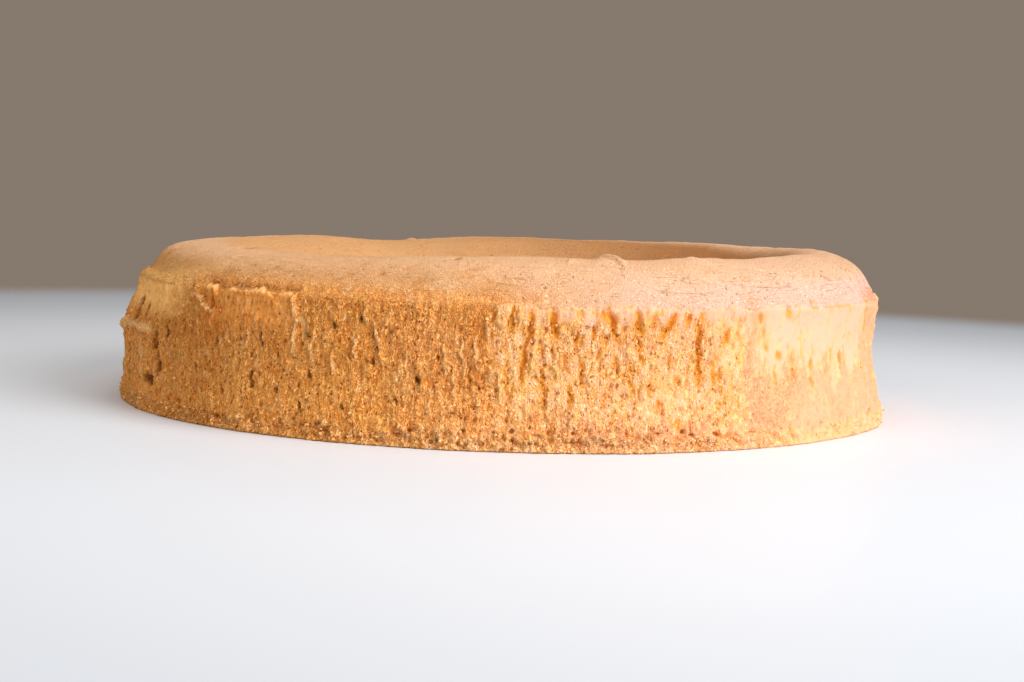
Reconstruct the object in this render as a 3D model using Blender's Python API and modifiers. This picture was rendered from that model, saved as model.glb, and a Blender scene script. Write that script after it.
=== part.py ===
"""A round sponge cake base, baked in a 24 cm ring: one solid with a raised rim and a sunken centre.

Metres, +Z up. The origin is the middle of the flat underside. The front faces -Y.
"""

import math

import bmesh
import bpy
from mathutils import Vector, noise

# Driving dimensions
BASE_RADIUS = 0.1205  # the foot, which spread a little over the ring's lower edge
WAIST_RADIUS = 0.1178
LIP_RADIUS = 0.1176  # the top edge of the wall, where the skin held on to the ring
WAIST_HEIGHT = 0.0245
LIP_HEIGHT = 0.0383
CREST_HEIGHT = 0.0492
FLOOR_HEIGHT = 0.0338  # the lowest part of the sunken centre

# The outline between those sizes
FOOT_ROUNDING = 0.0008
FLARE_POWER = 1.6
LIP_POWER = 2.0
LIP_STEP = 0.0012  # the top crust starts this far inside the lip
LIP_ROUNDING = 0.0006
SHOULDER_REACH = 0.0070  # how far in from the lip the shoulder turns flat
CREST_RADIUS = 0.0920
FLOOR_RADIUS = 0.0280
SLOPE_POWER = 1.5  # the dip is shallow in the middle and steep under the rim

# How the cake settled: the dip lies off centre towards +X, and the rim is higher on that side
DIP_SHIFT = 0.0125
DIP_NARROWING = 0.08
RIM_LEAN = 0.0024
RIM_SWELLS = (  # direction from +X in degrees, half width in degrees, height
    (162.0, 52.0, 0.0027),
    (66.0, 44.0, -0.0018),
)
WALL_SWING = 0.0019  # the wall pulled in on the +X side and bellied out on the -X side
LUMPS = ((0.042, 0.0012), (0.016, 0.0005))  # size and height of the swellings on top
WAVES = ((0.034, 0.0009), (0.011, 0.0004))  # size and depth of the hollows in the wall

# Steps of the mesh
TURN_STEPS = 120
WALL_STEPS = 11
SHOULDER_STEPS = 8
SLOPE_STEPS = 9
FLOOR_RINGS = 3
UNDERSIDE_RINGS = 3

SPONGE_COLOUR = (0.60, 0.29, 0.11, 1.0)
SPONGE_ROUGHNESS = 0.9


def smooth(share):
    """0 to 1 with level ends."""
    share = min(1.0, max(0.0, share))
    return share * share * (3.0 - 2.0 * share)


def clear_scene():
    for obj in list(bpy.data.objects):
        bpy.data.objects.remove(obj)


def wall_radius(height):
    """The wall narrows from the foot to the waist and runs on to the lip."""
    if height < WAIST_HEIGHT:
        share = 1.0 - height / WAIST_HEIGHT
        return WAIST_RADIUS + (BASE_RADIUS - WAIST_RADIUS) * share**FLARE_POWER
    share = (height - WAIST_HEIGHT) / (LIP_HEIGHT - WAIST_HEIGHT)
    return WAIST_RADIUS + (LIP_RADIUS - WAIST_RADIUS) * share**LIP_POWER


def floor_points():
    return [(FLOOR_RADIUS * i / FLOOR_RINGS, FLOOR_HEIGHT) for i in range(FLOOR_RINGS)]


def slope_points():
    """From the floor of the dip up to the crest of the rim."""
    points = []
    for i in range(SLOPE_STEPS):
        share = i / SLOPE_STEPS
        radius = FLOOR_RADIUS + (CREST_RADIUS - FLOOR_RADIUS) * share
        rise = (CREST_HEIGHT - FLOOR_HEIGHT) * smooth(share**SLOPE_POWER)
        points.append((radius, FLOOR_HEIGHT + rise))
    return points


def shoulder_points():
    """From the crest out and down to the step behind the lip, as one quadratic curve."""
    start = Vector((CREST_RADIUS, CREST_HEIGHT))
    bend = Vector((LIP_RADIUS - SHOULDER_REACH, CREST_HEIGHT))
    end = Vector((LIP_RADIUS - LIP_STEP, LIP_HEIGHT))
    points = []
    for i in range(SHOULDER_STEPS + 1):
        t = i / SHOULDER_STEPS
        points.append(tuple((1 - t) ** 2 * start + 2 * t * (1 - t) * bend + t**2 * end))
    return points


def lip_points():
    """The free edge of the side skin, a small rounded ledge."""
    return [
        (LIP_RADIUS - LIP_ROUNDING, LIP_HEIGHT + LIP_ROUNDING / 2),
        (LIP_RADIUS, LIP_HEIGHT - LIP_ROUNDING),
    ]


def wall_points():
    """Down the wall from under the lip to the rounded foot."""
    top = LIP_HEIGHT - 3 * LIP_ROUNDING
    heights = [top + (FOOT_ROUNDING - top) * i / WALL_STEPS for i in range(WALL_STEPS + 1)]
    return [(wall_radius(height), height) for height in heights]


def underside_points():
    edge = BASE_RADIUS - FOOT_ROUNDING
    return [(edge * i / UNDERSIDE_RINGS, 0.0) for i in range(UNDERSIDE_RINGS, -1, -1)]


def turned_mesh():
    """The mean outline, from the middle of the top to the middle of the underside, turned about Z."""
    outline = (
        floor_points()
        + slope_points()
        + shoulder_points()
        + lip_points()
        + wall_points()
        + underside_points()
    )
    mesh = bpy.data.meshes.new("outline")
    edges = [(i, i + 1) for i in range(len(outline) - 1)]
    mesh.from_pydata([(radius, 0.0, height) for radius, height in outline], edges, [])
    profile = bpy.data.objects.new("outline", mesh)
    bpy.context.scene.collection.objects.link(profile)
    screw = profile.modifiers.new("turn", "SCREW")
    screw.steps = TURN_STEPS
    screw.render_steps = TURN_STEPS
    screw.use_merge_vertices = True
    screw.merge_threshold = 0.0001
    bpy.context.view_layer.update()
    graph = bpy.context.evaluated_depsgraph_get()
    turned = bpy.data.meshes.new_from_object(profile.evaluated_get(graph))
    bpy.data.objects.remove(profile)
    return turned


def swelling(point, sizes, offset):
    """Smooth noise summed over the given sizes; offset picks a different stretch of it."""
    return sum(depth * noise.noise(point / size + offset) for size, depth in sizes)


def rim_rise(point):
    """How much higher or lower than the mean outline the rim stands in a point's direction."""
    direction = math.degrees(math.atan2(point.y, point.x))
    rise = RIM_LEAN * point.x / LIP_RADIUS
    for middle, half_width, height in RIM_SWELLS:
        away = abs((direction - middle + 180.0) % 360.0 - 180.0)
        rise += height * smooth(1.0 - away / half_width)
    return rise * smooth(math.hypot(point.x, point.y) / CREST_RADIUS)


def wall_shift(point):
    """How far a point of the wall moves outwards."""
    if point.z < WAIST_HEIGHT:
        height_share = smooth(point.z / WAIST_HEIGHT)
    else:
        height_share = smooth((LIP_HEIGHT - point.z) / (LIP_HEIGHT - WAIST_HEIGHT))
    swing = -WALL_SWING * height_share * point.x / WAIST_RADIUS
    return swing + swelling(point, WAVES, Vector((7.3, 1.9, 4.1)))


def settled(point):
    """Where a point of the turned shape ends up once the cake has cooled and sunk."""
    radius = math.hypot(point.x, point.y)
    moved = point.copy()
    if radius > 0:
        outward = Vector((point.x, point.y, 0.0)) / radius
        moved += outward * wall_shift(point) * smooth(radius / WAIST_RADIUS)
    if point.z > LIP_HEIGHT or radius < CREST_RADIUS and point.z > FLOOR_HEIGHT / 2:
        plateau = 0.7 * CREST_RADIUS
        inside = 1.0 - smooth((radius - plateau) / (LIP_RADIUS - SHOULDER_REACH - plateau))
        raised = smooth((LIP_RADIUS - radius) / SHOULDER_REACH)
        moved.x += DIP_SHIFT * inside
        moved.y -= DIP_NARROWING * point.y * inside
        moved.z += raised * rim_rise(point)
        moved.z += raised * swelling(point, LUMPS, Vector((2.7, 8.4, 0.6)))
    return moved


def centre(form):
    """Slide the mesh so that its box is centred on the Z axis."""
    for axis in (0, 1):
        places = [vert.co[axis] for vert in form.verts]
        middle = (min(places) + max(places)) / 2
        for vert in form.verts:
            vert.co[axis] -= middle


def make_sponge():
    """The whole cake as one closed mesh, named for its node."""
    mesh = turned_mesh()
    mesh.name = "sponge_cake"
    form = bmesh.new()
    form.from_mesh(mesh)
    for vert in form.verts:
        vert.co = settled(vert.co)
    centre(form)
    form.to_mesh(mesh)
    form.free()
    mesh.shade_smooth()
    mesh.set_sharp_from_angle(angle=math.radians(40))
    return bpy.data.objects.new("sponge_cake", mesh)


def sponge_material():
    material = bpy.data.materials.new("baked sponge")
    material.use_nodes = True
    shader = material.node_tree.nodes["Principled BSDF"]
    shader.inputs["Base Color"].default_value = SPONGE_COLOUR
    shader.inputs["Roughness"].default_value = SPONGE_ROUGHNESS
    shader.inputs["Metallic"].default_value = 0.0
    return material


def main():
    clear_scene()
    collection = bpy.data.collections.new("sponge cake base")
    bpy.context.scene.collection.children.link(collection)
    sponge = make_sponge()
    sponge.data.materials.append(sponge_material())
    collection.objects.link(sponge)


main()
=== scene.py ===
import math
import random

import bmesh
import bpy
from mathutils import Matrix, Vector


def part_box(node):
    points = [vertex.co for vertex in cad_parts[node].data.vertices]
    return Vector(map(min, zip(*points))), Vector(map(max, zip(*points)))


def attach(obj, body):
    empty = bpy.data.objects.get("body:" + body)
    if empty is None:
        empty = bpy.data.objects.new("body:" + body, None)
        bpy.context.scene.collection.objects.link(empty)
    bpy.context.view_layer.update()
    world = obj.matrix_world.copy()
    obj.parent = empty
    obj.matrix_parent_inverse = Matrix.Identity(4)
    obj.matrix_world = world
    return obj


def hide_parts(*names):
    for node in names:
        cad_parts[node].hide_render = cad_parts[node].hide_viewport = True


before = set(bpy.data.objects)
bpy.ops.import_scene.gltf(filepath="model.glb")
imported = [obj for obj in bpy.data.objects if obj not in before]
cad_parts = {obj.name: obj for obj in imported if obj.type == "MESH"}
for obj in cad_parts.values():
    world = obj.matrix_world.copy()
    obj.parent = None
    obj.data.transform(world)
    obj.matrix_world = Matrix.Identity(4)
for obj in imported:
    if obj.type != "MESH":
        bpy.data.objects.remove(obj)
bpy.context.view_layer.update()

cadNode = "sponge_cake"
mm = 0.001
lowCorner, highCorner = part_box(cadNode)
footRadius = (highCorner.x - lowCorner.x) / 2
wallRadius = footRadius - 2.6 * mm  # the wall above its spread foot
crestHeight = highCorner.z
lipHeight = crestHeight - 13 * mm  # where the side skin ends and the top crust begins


# a Wire is one value in a node tree, so that sums of them read as arithmetic
class Wire:
    def __init__(self, tree, socket):
        self.tree = tree
        self.socket = socket

    def __add__(self, other):
        return calculate(self.tree, "ADD", self, other)

    def __sub__(self, other):
        return calculate(self.tree, "SUBTRACT", self, other)

    def __rsub__(self, other):
        return calculate(self.tree, "SUBTRACT", other, self)

    def __mul__(self, other):
        return calculate(self.tree, "MULTIPLY", self, other)

    def __truediv__(self, other):
        return calculate(self.tree, "DIVIDE", self, other)

    __radd__ = __add__
    __rmul__ = __mul__


def put(tree, kind, inputs=None, **settings):
    # a new node; its inputs are given by name or number, and a Wire is linked
    node = tree.nodes.new(kind)
    for name, value in settings.items():
        setattr(node, name, value)
    for name, value in (inputs or {}).items():
        if isinstance(value, Wire):
            tree.links.new(value.socket, node.inputs[name])
        else:
            node.inputs[name].default_value = value
    return node


def out(node, name=0):
    return Wire(node.id_data, node.outputs[name])


def calculate(tree, operation, *values):
    return out(put(tree, "ShaderNodeMath", dict(enumerate(values)), operation=operation))


def largest(value, *others):
    for other in others:
        value = calculate(value.tree, "MAXIMUM", value, other)
    return value


def sizeOf(a):
    return calculate(a.tree, "ABSOLUTE", a)


def ramp(value, low, high, atLow=0.0, atHigh=1.0):
    # an eased step from atLow to atHigh while the value goes from low to high
    inputs = {"Value": value, "From Min": low, "From Max": high, "To Min": atLow, "To Max": atHigh}
    return out(put(value.tree, "ShaderNodeMapRange", inputs, interpolation_type="SMOOTHSTEP"))


def fall(value, low, high):
    return ramp(value, low, high, 1.0, 0.0)


def blend(share, a, b):
    return a * (1.0 - share) + b * share


def vectorDo(operation, *values, name="Vector"):
    inputs = dict(enumerate(values))
    return out(put(values[0].tree, "ShaderNodeVectorMath", inputs, operation=operation), name)


def lengthOf(place):
    return vectorDo("LENGTH", place, name="Value")


def scaled(place, amount):
    return out(put(place.tree, "ShaderNodeVectorMath", {0: place, "Scale": amount}, operation="SCALE"))


def stretched(place, across, up):
    # a factor under 1 stretches the pattern that is laid on the place
    return vectorDo("MULTIPLY", place, (across, across, up))


def shifted(place, offset):
    # for a pattern, an offset of some tenths of a metre makes it unlike the one that isn't shifted
    return vectorDo("ADD", place, offset)


def partsOf(place):
    node = put(place.tree, "ShaderNodeSeparateXYZ", {0: place})
    return out(node, 0), out(node, 1), out(node, 2)


def fromParts(tree, x=0.0, y=0.0, z=0.0):
    return out(put(tree, "ShaderNodeCombineXYZ", {0: x, 1: y, 2: z}))


def flatParts(place):
    # the place without its height, the level direction to it, and its height
    x, y, height = partsOf(place)
    level = fromParts(place.tree, x, y)
    return level, vectorDo("NORMALIZE", level), height


def grain(place, size, detail=2.0, rough=0.5, name=0):
    # a noise between 0 and 1; its size is in mm, as in warped and cells
    inputs = {"Vector": place, "Scale": 1.0 / (size * mm), "Detail": detail, "Roughness": rough}
    return out(put(place.tree, "ShaderNodeTexNoise", inputs), name)


def warped(place, size, amount):
    swirl = vectorDo("SUBTRACT", grain(place, size, 1.0, name=1), (0.5, 0.5, 0.5))
    return shifted(place, scaled(swirl, amount * mm))


def cells(place, size):
    # the distance to the nearest cell's middle in cell sizes, and a number of the cell's own
    node = put(place.tree, "ShaderNodeTexVoronoi", {"Vector": place, "Scale": 1.0 / (size * mm)})
    return out(node, "Distance"), partsOf(out(node, "Color"))[0]


def tint(share, a, b):
    return out(put(share.tree, "ShaderNodeMix", {0: share, 6: a, 7: b}, data_type="RGBA"), 2)


def ridged(value, sharpness):
    # thin lines where a noise passes its middle value
    return fall(sizeOf(value - 0.5), 0.0, sharpness)


def newGroup(name, kind, inputs, outputs):
    # an input is given as its kind, or as a number that it starts with; the outputs are geometry or numbers
    tree = bpy.data.node_groups.new(name, kind)
    for label, value in inputs.items():
        socketKind = value if isinstance(value, str) else "Float"
        socket = tree.interface.new_socket(label, in_out="INPUT", socket_type="NodeSocket" + socketKind)
        if socketKind == "Float":
            socket.default_value = value
    for label in outputs:
        socketKind = label if label == "Geometry" else "Float"
        tree.interface.new_socket(label, in_out="OUTPUT", socket_type="NodeSocket" + socketKind)
    entry = tree.nodes.new("NodeGroupInput")
    leave = tree.nodes.new("NodeGroupOutput")
    return tree, {label: out(entry, label) for label in inputs}, leave


def finishGroup(leave, values):
    for label, value in values.items():
        leave.id_data.links.new(value.socket, leave.inputs[label])


def finishGeometry(leave, geometry, material):
    smooth = put(geometry.tree, "GeometryNodeSetShadeSmooth", {"Geometry": geometry})
    real = put(geometry.tree, "GeometryNodeRealizeInstances", {"Geometry": out(smooth)})
    final = put(geometry.tree, "GeometryNodeSetMaterial", {"Geometry": out(real), "Material": material})
    finishGroup(leave, {"Geometry": out(final)})


def useGroup(tree, group, inputs):
    kind = "GeometryNodeGroup" if tree.bl_idname == "GeometryNodeTree" else "ShaderNodeGroup"
    return put(tree, kind, inputs, node_tree=group)


def shaped(obj, tree, values):
    # the object's mesh as the tree makes it; the modifier doesn't stay
    modifier = obj.modifiers.new(tree.name, "NODES")
    modifier.node_group = tree
    for item in tree.interface.items_tree:
        if item.in_out == "INPUT" and item.name in values:
            modifier[item.identifier] = values[item.name]
    depsgraph = bpy.context.evaluated_depsgraph_get()
    mesh = bpy.data.meshes.new_from_object(obj.evaluated_get(depsgraph), depsgraph=depsgraph)
    obj.modifiers.remove(modifier)
    obj.data = mesh
    return obj


def newMaterial(name, roughness, specular=0.25):
    material = bpy.data.materials.new(name)
    material.use_nodes = True
    tree = material.node_tree
    shader = tree.nodes["Principled BSDF"]
    shader.inputs["Roughness"].default_value = roughness
    shader.inputs["Specular IOR Level"].default_value = specular
    return material, tree, shader, out(put(tree, "ShaderNodeTexCoord"), "Object")


def showObject(name, mesh):
    obj = bpy.data.objects.new(name, mesh)
    bpy.context.scene.collection.objects.link(obj)
    return obj


def aroundAxis(azimuth, radius, height):
    # azimuth in degrees from the front, growing to the right
    turn = math.radians(azimuth)
    return Vector((radius * math.sin(turn), -radius * math.cos(turn), height))


# the camera, the floor and the light
view = {"distance": 0.600, "height": 0.0715, "pitch": 5.05, "roll": 1.95, "yaw": -0.246, "lens": 65.6}
floorLook = {
    "radius": 0.56,
    "drop": 0.05 * mm,
    "fade": (0.44, 0.5516),  # where the floor begins to fade, and where it is gone
    "reach": (0.20, 0.50),  # where the near tone ends, and where the far tone begins
    "near": (0.735, 0.785, 0.865, 1),
    # the far tone is painted shade: the floor grows darker away from the cake
    "far": (0.475, 0.520, 0.590, 1),
    "roughness": 0.45,
}
wallLook = {"behind": (0.238, 0.190, 0.152, 1), "around": (1.0, 0.87, 0.73, 1), "strength": 0.27}
lightTarget = Vector((0, 0, 0.02))
lights = {  # azimuth and rise in degrees, distance and size in metres, power in watts, colour
    "windowLight": (50, 27, 1.1, 0.80, 13.5, (1.0, 0.98, 0.95)),
    "skyLight": (30, 78, 1.2, 1.20, 7.0, (0.97, 0.98, 1.0)),
    "fillLight": (-42, 22, 1.3, 1.00, 4.1, (1.0, 0.88, 0.70)),
}


def makeCamera():
    data = bpy.data.cameras.new("camera")
    data.lens = view["lens"]
    data.sensor_width = 36
    data.clip_start = 0.01
    camera = showObject("camera", data)
    turn = Matrix.Rotation(math.radians(view["yaw"]), 4, "Z")
    tilt = Matrix.Rotation(math.radians(90 - view["pitch"]), 4, "X")
    roll = Matrix.Rotation(math.radians(view["roll"]), 4, "Z")
    place = Matrix.Translation((0, -view["distance"], view["height"]))
    camera.matrix_world = place @ turn @ tilt @ roll
    bpy.context.scene.camera = camera


def makeFloor():
    mesh = bpy.data.meshes.new("floor")
    build = bmesh.new()
    bmesh.ops.create_circle(build, cap_ends=True, segments=128, radius=floorLook["radius"])
    build.to_mesh(mesh)
    build.free()
    floor = showObject("floor", mesh)
    floor.location.z = -floorLook["drop"]
    material, tree, shader, place = newMaterial("paleTable", floorLook["roughness"])
    reach = lengthOf(place)
    fade = fall(reach, *floorLook["fade"])
    tone = tint(ramp(reach, *floorLook["reach"]), floorLook["near"], floorLook["far"])
    tree.links.new(fade.socket, shader.inputs["Alpha"])
    tree.links.new(tone.socket, shader.inputs["Base Color"])
    mesh.materials.append(material)


def makeWorld():
    world = bpy.data.worlds.new("room")
    bpy.context.scene.world = world
    world.use_nodes = True
    tree = world.node_tree
    tree.nodes.clear()
    behind = put(tree, "ShaderNodeBackground", {"Color": wallLook["behind"], "Strength": 1.0})
    strength = wallLook["strength"]
    around = put(tree, "ShaderNodeBackground", {"Color": wallLook["around"], "Strength": strength})
    seen = out(put(tree, "ShaderNodeLightPath"), "Is Camera Ray")
    both = put(tree, "ShaderNodeMixShader", {0: seen, 1: out(around), 2: out(behind)})
    put(tree, "ShaderNodeOutputWorld", {"Surface": out(both)})


def makeLights():
    for name, (azimuth, rise, distance, size, power, colour) in lights.items():
        data = bpy.data.lights.new(name, "AREA")
        data.shape = "DISK"
        data.size = size
        data.energy = power
        data.color = colour
        lamp = showObject(name, data)
        rise = math.radians(rise)
        away = aroundAxis(azimuth, distance * math.cos(rise), distance * math.sin(rise))
        lamp.location = away + lightTarget
        lamp.rotation_euler = (lamp.location - lightTarget).to_track_quat("Z", "Y").to_euler()


bpy.context.scene.view_settings.view_transform = "Standard"
makeCamera()
makeFloor()
makeWorld()
makeLights()
print("camera, floor and light are set")


# the guide form is the CAD solid without its facets, and the pieces are laid on it
guideLook = {"weld": 0.01 * mm, "joinAngle": math.radians(40), "levels": 2}


def makeGuideForm():
    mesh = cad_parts[cadNode].data.copy()
    build = bmesh.new()
    build.from_mesh(mesh)
    bmesh.ops.remove_doubles(build, verts=build.verts, dist=guideLook["weld"])
    bmesh.ops.join_triangles(
        build,
        faces=build.faces,
        angle_face_threshold=guideLook["joinAngle"],
        angle_shape_threshold=guideLook["joinAngle"],
    )
    build.to_mesh(mesh)
    build.free()
    mesh.materials.clear()
    form = showObject("guideForm", mesh)
    smooth = form.modifiers.new("smooth", "SUBSURF")
    smooth.levels = guideLook["levels"]
    smooth.render_levels = guideLook["levels"]
    depsgraph = bpy.context.evaluated_depsgraph_get()
    fine = bpy.data.meshes.new_from_object(form.evaluated_get(depsgraph), depsgraph=depsgraph)
    form.modifiers.remove(smooth)
    form.data = fine
    return form


guideForm = makeGuideForm()
print("guide form:", len(guideForm.data.polygons), "faces")


# the pieces begin as closed turned meshes out of stacked rings
frontCrowding = 0.5  # how much closer the columns stand at the front than on average


class Ring:
    # one ring of a turned mesh: guide is the way out of the surface, as degrees above level
    def __init__(self, radius, height, guide, columns, relief=1.0, tuck=0.0, lift=0.0, follow=1.0, drop=0.0):
        self.radius = radius
        self.height = height
        self.guide = math.radians(guide)
        self.columns = columns
        self.levels = {"relief": relief, "tuck": tuck, "lift": lift, "follow": follow, "drop": drop}


def stackRings(name, rings):
    # rings run from the underside's centre outwards, up the wall and over the top to its centre
    points = []
    guides = []
    levels = {label: [] for label in rings[0].levels}
    starts = []
    for ring in rings:
        starts.append(len(points))
        for column in range(ring.columns):
            even = 2 * math.pi * column / ring.columns
            turn = even - frontCrowding * math.sin(even)
            points.append((ring.radius * math.sin(turn), -ring.radius * math.cos(turn), ring.height))
            level = math.cos(ring.guide)
            guides.extend((level * math.sin(turn), -level * math.cos(turn), math.sin(ring.guide)))
            for label, values in levels.items():
                values.append(ring.levels[label])
    faces = []
    for below, above, low, high in zip(rings, rings[1:], starts, starts[1:]):
        faces.extend(bandFaces(low, below.columns, high, above.columns))
    mesh = bpy.data.meshes.new(name)
    mesh.from_pydata(points, [], faces)
    mesh.attributes.new("guide", "FLOAT_VECTOR", "POINT").data.foreach_set("vector", guides)
    for label, values in levels.items():
        mesh.attributes.new(label, "FLOAT", "POINT").data.foreach_set("value", values)
    return showObject(name, mesh)


def bandFaces(low, lowCount, high, highCount):
    # the faces between two rings: one point is a pole, and one ring may have twice the points of the other
    faces = []
    hasPole = 1 in (lowCount, highCount)
    for k in range(max(lowCount, highCount) if hasPole else min(lowCount, highCount)):
        if lowCount == 1:
            faces.append((low, high + (k + 1) % highCount, high + k))
        elif highCount == 1:
            faces.append((low + k, low + (k + 1) % lowCount, high))
        elif lowCount == highCount:
            n = (k + 1) % lowCount
            faces.append((low + k, low + n, high + n, high + k))
        elif lowCount > highCount:
            a, b, c = low + 2 * k, low + 2 * k + 1, low + (2 * k + 2) % lowCount
            d, e = high + k, high + (k + 1) % highCount
            faces.extend(((a, b, d), (b, e, d), (b, c, e)))
        else:
            a, b = low + k, low + (k + 1) % lowCount
            c, d, e = high + 2 * k, high + 2 * k + 1, high + (2 * k + 2) % highCount
            faces.extend(((a, d, c), (a, b, d), (b, e, d)))
    return faces


def spaced(first, last, count):
    return [first + (last - first) * k / (count - 1) for k in range(count)]


# marks are short wavy lines of points that carry how wide and how deep a cut or a welt is
markLook = {
    "step": 0.25,  # between the points of a mark, in mm
    "wave": (3.0, 5.5),  # how long its waves are, in mm
    "swing": (0.6, 1.3),
    "widest": 0.30,  # swing of a long mark, in mm
}


def markChain(name, marks, place, seed):
    # a mark is an azimuth and a level at both ends, in degrees and mm, then half width and depth in mm
    draw = random.Random(seed)
    points = []
    reaches = []
    depths = []
    for azimuth, level, endAzimuth, endLevel, reach, depth in marks:
        length = math.hypot((endAzimuth - azimuth) * wallRadius / mm * math.pi / 180, endLevel - level)
        count = max(2, round(length / markLook["step"]))
        phase = draw.uniform(0, 2 * math.pi)
        wave = draw.uniform(*markLook["wave"])
        swing = min(markLook["widest"], 0.06 * length) * draw.uniform(*markLook["swing"])
        for k in range(count):
            share = k / (count - 1)
            sway = swing * math.sin(phase + 2 * math.pi * share * length / wave)
            fade = math.sin(math.pi * (0.08 + 0.84 * share)) ** 0.6
            beat = 1 + 0.25 * math.sin(1.7 * phase + 5.1 * share * length / wave)
            at = azimuth + (endAzimuth - azimuth) * share + math.degrees(sway * mm / wallRadius)
            points.append(place(at, level + (endLevel - level) * share + 0.3 * sway))
            reaches.append(reach * mm * (0.45 + 0.55 * fade) * beat)
            depths.append(depth * mm * fade)
    mesh = bpy.data.meshes.new(name)
    mesh.from_pydata(points, [], [])
    mesh.attributes.new("reach", "FLOAT", "POINT").data.foreach_set("value", reaches)
    mesh.attributes.new("depth", "FLOAT", "POINT").data.foreach_set("value", depths)
    return showObject(name, mesh)


def onWall(azimuth, level):
    return aroundAxis(azimuth, wallRadius, level * mm)


def onTop(azimuth, level):
    return aroundAxis(azimuth, level * mm, 0)


def markDepth(tree, marksObject, place):
    # the depth of the nearest mark at this place, how far into it the place lies, and how near it is
    marks = out(put(tree, "GeometryNodeObjectInfo", {"Object": marksObject}), "Geometry")
    index = out(put(tree, "GeometryNodeSampleNearest", {"Geometry": marks, "Sample Position": place}))

    def read(kind, value):
        inputs = {"Geometry": marks, "Value": value, "Index": index}
        return out(put(tree, "GeometryNodeSampleIndex", inputs, data_type=kind))

    nearest = read("FLOAT_VECTOR", out(put(tree, "GeometryNodeInputPosition")))
    reach = read("FLOAT", namedValue(tree, "reach"))
    depth = read("FLOAT", namedValue(tree, "depth"))
    away = vectorDo("DISTANCE", place, nearest, name="Value") / reach
    inside = fall(away, 0.3, 1.1)
    return inside * depth, inside, fall(away, 0.5, 2.2)


def namedValue(tree, name, kind="FLOAT"):
    node = put(tree, "GeometryNodeInputNamedAttribute", {"Name": name}, data_type=kind)
    return out(node, "Attribute")


def storeValue(geometry, name, value):
    inputs = {"Geometry": geometry, "Name": name, "Value": value}
    kind = "GeometryNodeStoreNamedAttribute"
    return out(put(geometry.tree, kind, inputs, data_type="FLOAT", domain="POINT"))


# where the side is torn, and where its skin ends in a ledge below the crust
# azimuth and half width in degrees, the height in mm that the tear fades out at, and how pale it is
tornZones = [
    (17, 17, 3, 0.22), (51, 14, 18, 1.0), (104, 13, 17, 0.4), (147, 17, 10, 0.15),
    (-151, 15, 14, 0.1), (-112, 9, 20, 0.1),
]
ledgeZones = [(-37, 8.5), (84, 5), (127, 6), (-92, 7), (178, 8)]  # azimuth and half width
softZones = {  # azimuth, half width and the width of the soft edge
    "sunken": (-84, 10, 22),
    "raised": (152, 4, 38),
    "lowered": (-132, 6, 40),
    "blond": (-65, 8, 12),
    # two darker zones at the left: a narrow stripe on the side and a broad zone on the crust
    "sideDarkerAtLeft": (-47, 3, 7),
    "crustDarkerAtLeft": (-72, 16, 14),
}
leanIn = 2.5 * mm  # how far the shoulder lies inward in the sunken zone
raisedBy = 0.7  # how far the crest lies higher or lower in these zones, in mm
loweredBy = 1.4


def zoneShare(direction, azimuth, half, soft):
    facing = vectorDo("DOT_PRODUCT", direction, aroundAxis(azimuth, 1, 0), name="Value")
    near = math.cos(math.radians(half))
    far = math.cos(math.radians(half + soft))
    return ramp(facing, far, near)


def makeZoneGroup():
    labels = ["Torn", "Pale", "Torn side", "Ledge", "Crust edge", "Skin edge", "Sunken"]
    tree, entry, leave = newGroup("tornAndLedge", "GeometryNodeTree", {"Place": "Vector"}, labels)
    place = entry["Place"]
    level, direction, height = flatParts(place)
    rim = scaled(direction, wallRadius)
    stray = vectorDo("SUBTRACT", grain(stretched(place, 1.0, 0.4), 7, 3.0, name=1), (0.5, 0.5, 0.5))
    loose = vectorDo("NORMALIZE", shifted(direction, scaled(stray, 0.11)))
    patchy = grain(stretched(place, 1.0, 0.35), 5, 3.0)
    drop = height + (patchy - 0.5) * 35 * mm
    tears = []
    sides = []
    pales = []
    for azimuth, half, fadeHeight, paleness in tornZones:
        down = ramp(drop, (fadeHeight - 5) * mm, (fadeHeight + 12) * mm)
        paleDown = ramp(drop, (fadeHeight - 7) * mm, (fadeHeight + 16) * mm)
        tears.append(zoneShare(loose, azimuth, half - 3.0, 6.0) * down)
        sides.append(zoneShare(direction, azimuth, half - 1, 3.0))
        pales.append(zoneShare(loose, azimuth, half - 6.0, 11.0) * paleDown * paleness)
    tornSide = largest(*sides)
    ledge = largest(*[zoneShare(direction, azimuth, half - 1, 2.0) for azimuth, half in ledgeZones])
    lobes = (grain(rim, 6, 1.0) - 0.5) * 4 * mm + (grain(rim, 1.8, 2.0) - 0.5) * 2.6 * mm
    ragged = (grain(rim, 5, 1.0) - 0.5) * 5 * mm + (grain(rim, 1.2, 3.0) - 0.5) * 5 * mm
    crustEdge = blend(tornSide, ragged * 0.35 - 0.8 * mm, lobes - 0.1 * mm) - ledge * 3.2 * mm
    skinEdge = blend(ledge, 1.2 * mm, ragged - 0.5 * mm)
    sunken = zoneShare(direction, *softZones["sunken"]) * ramp(height, 23 * mm, 34 * mm)
    sunken = sunken * fall(height, 41 * mm, 46.5 * mm) * ramp(lengthOf(level), 84 * mm, 95 * mm)
    values = [largest(*tears), largest(*pales), tornSide, ledge, crustEdge, skinEdge, sunken]
    finishGroup(leave, dict(zip(labels, values)))
    return tree


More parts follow.
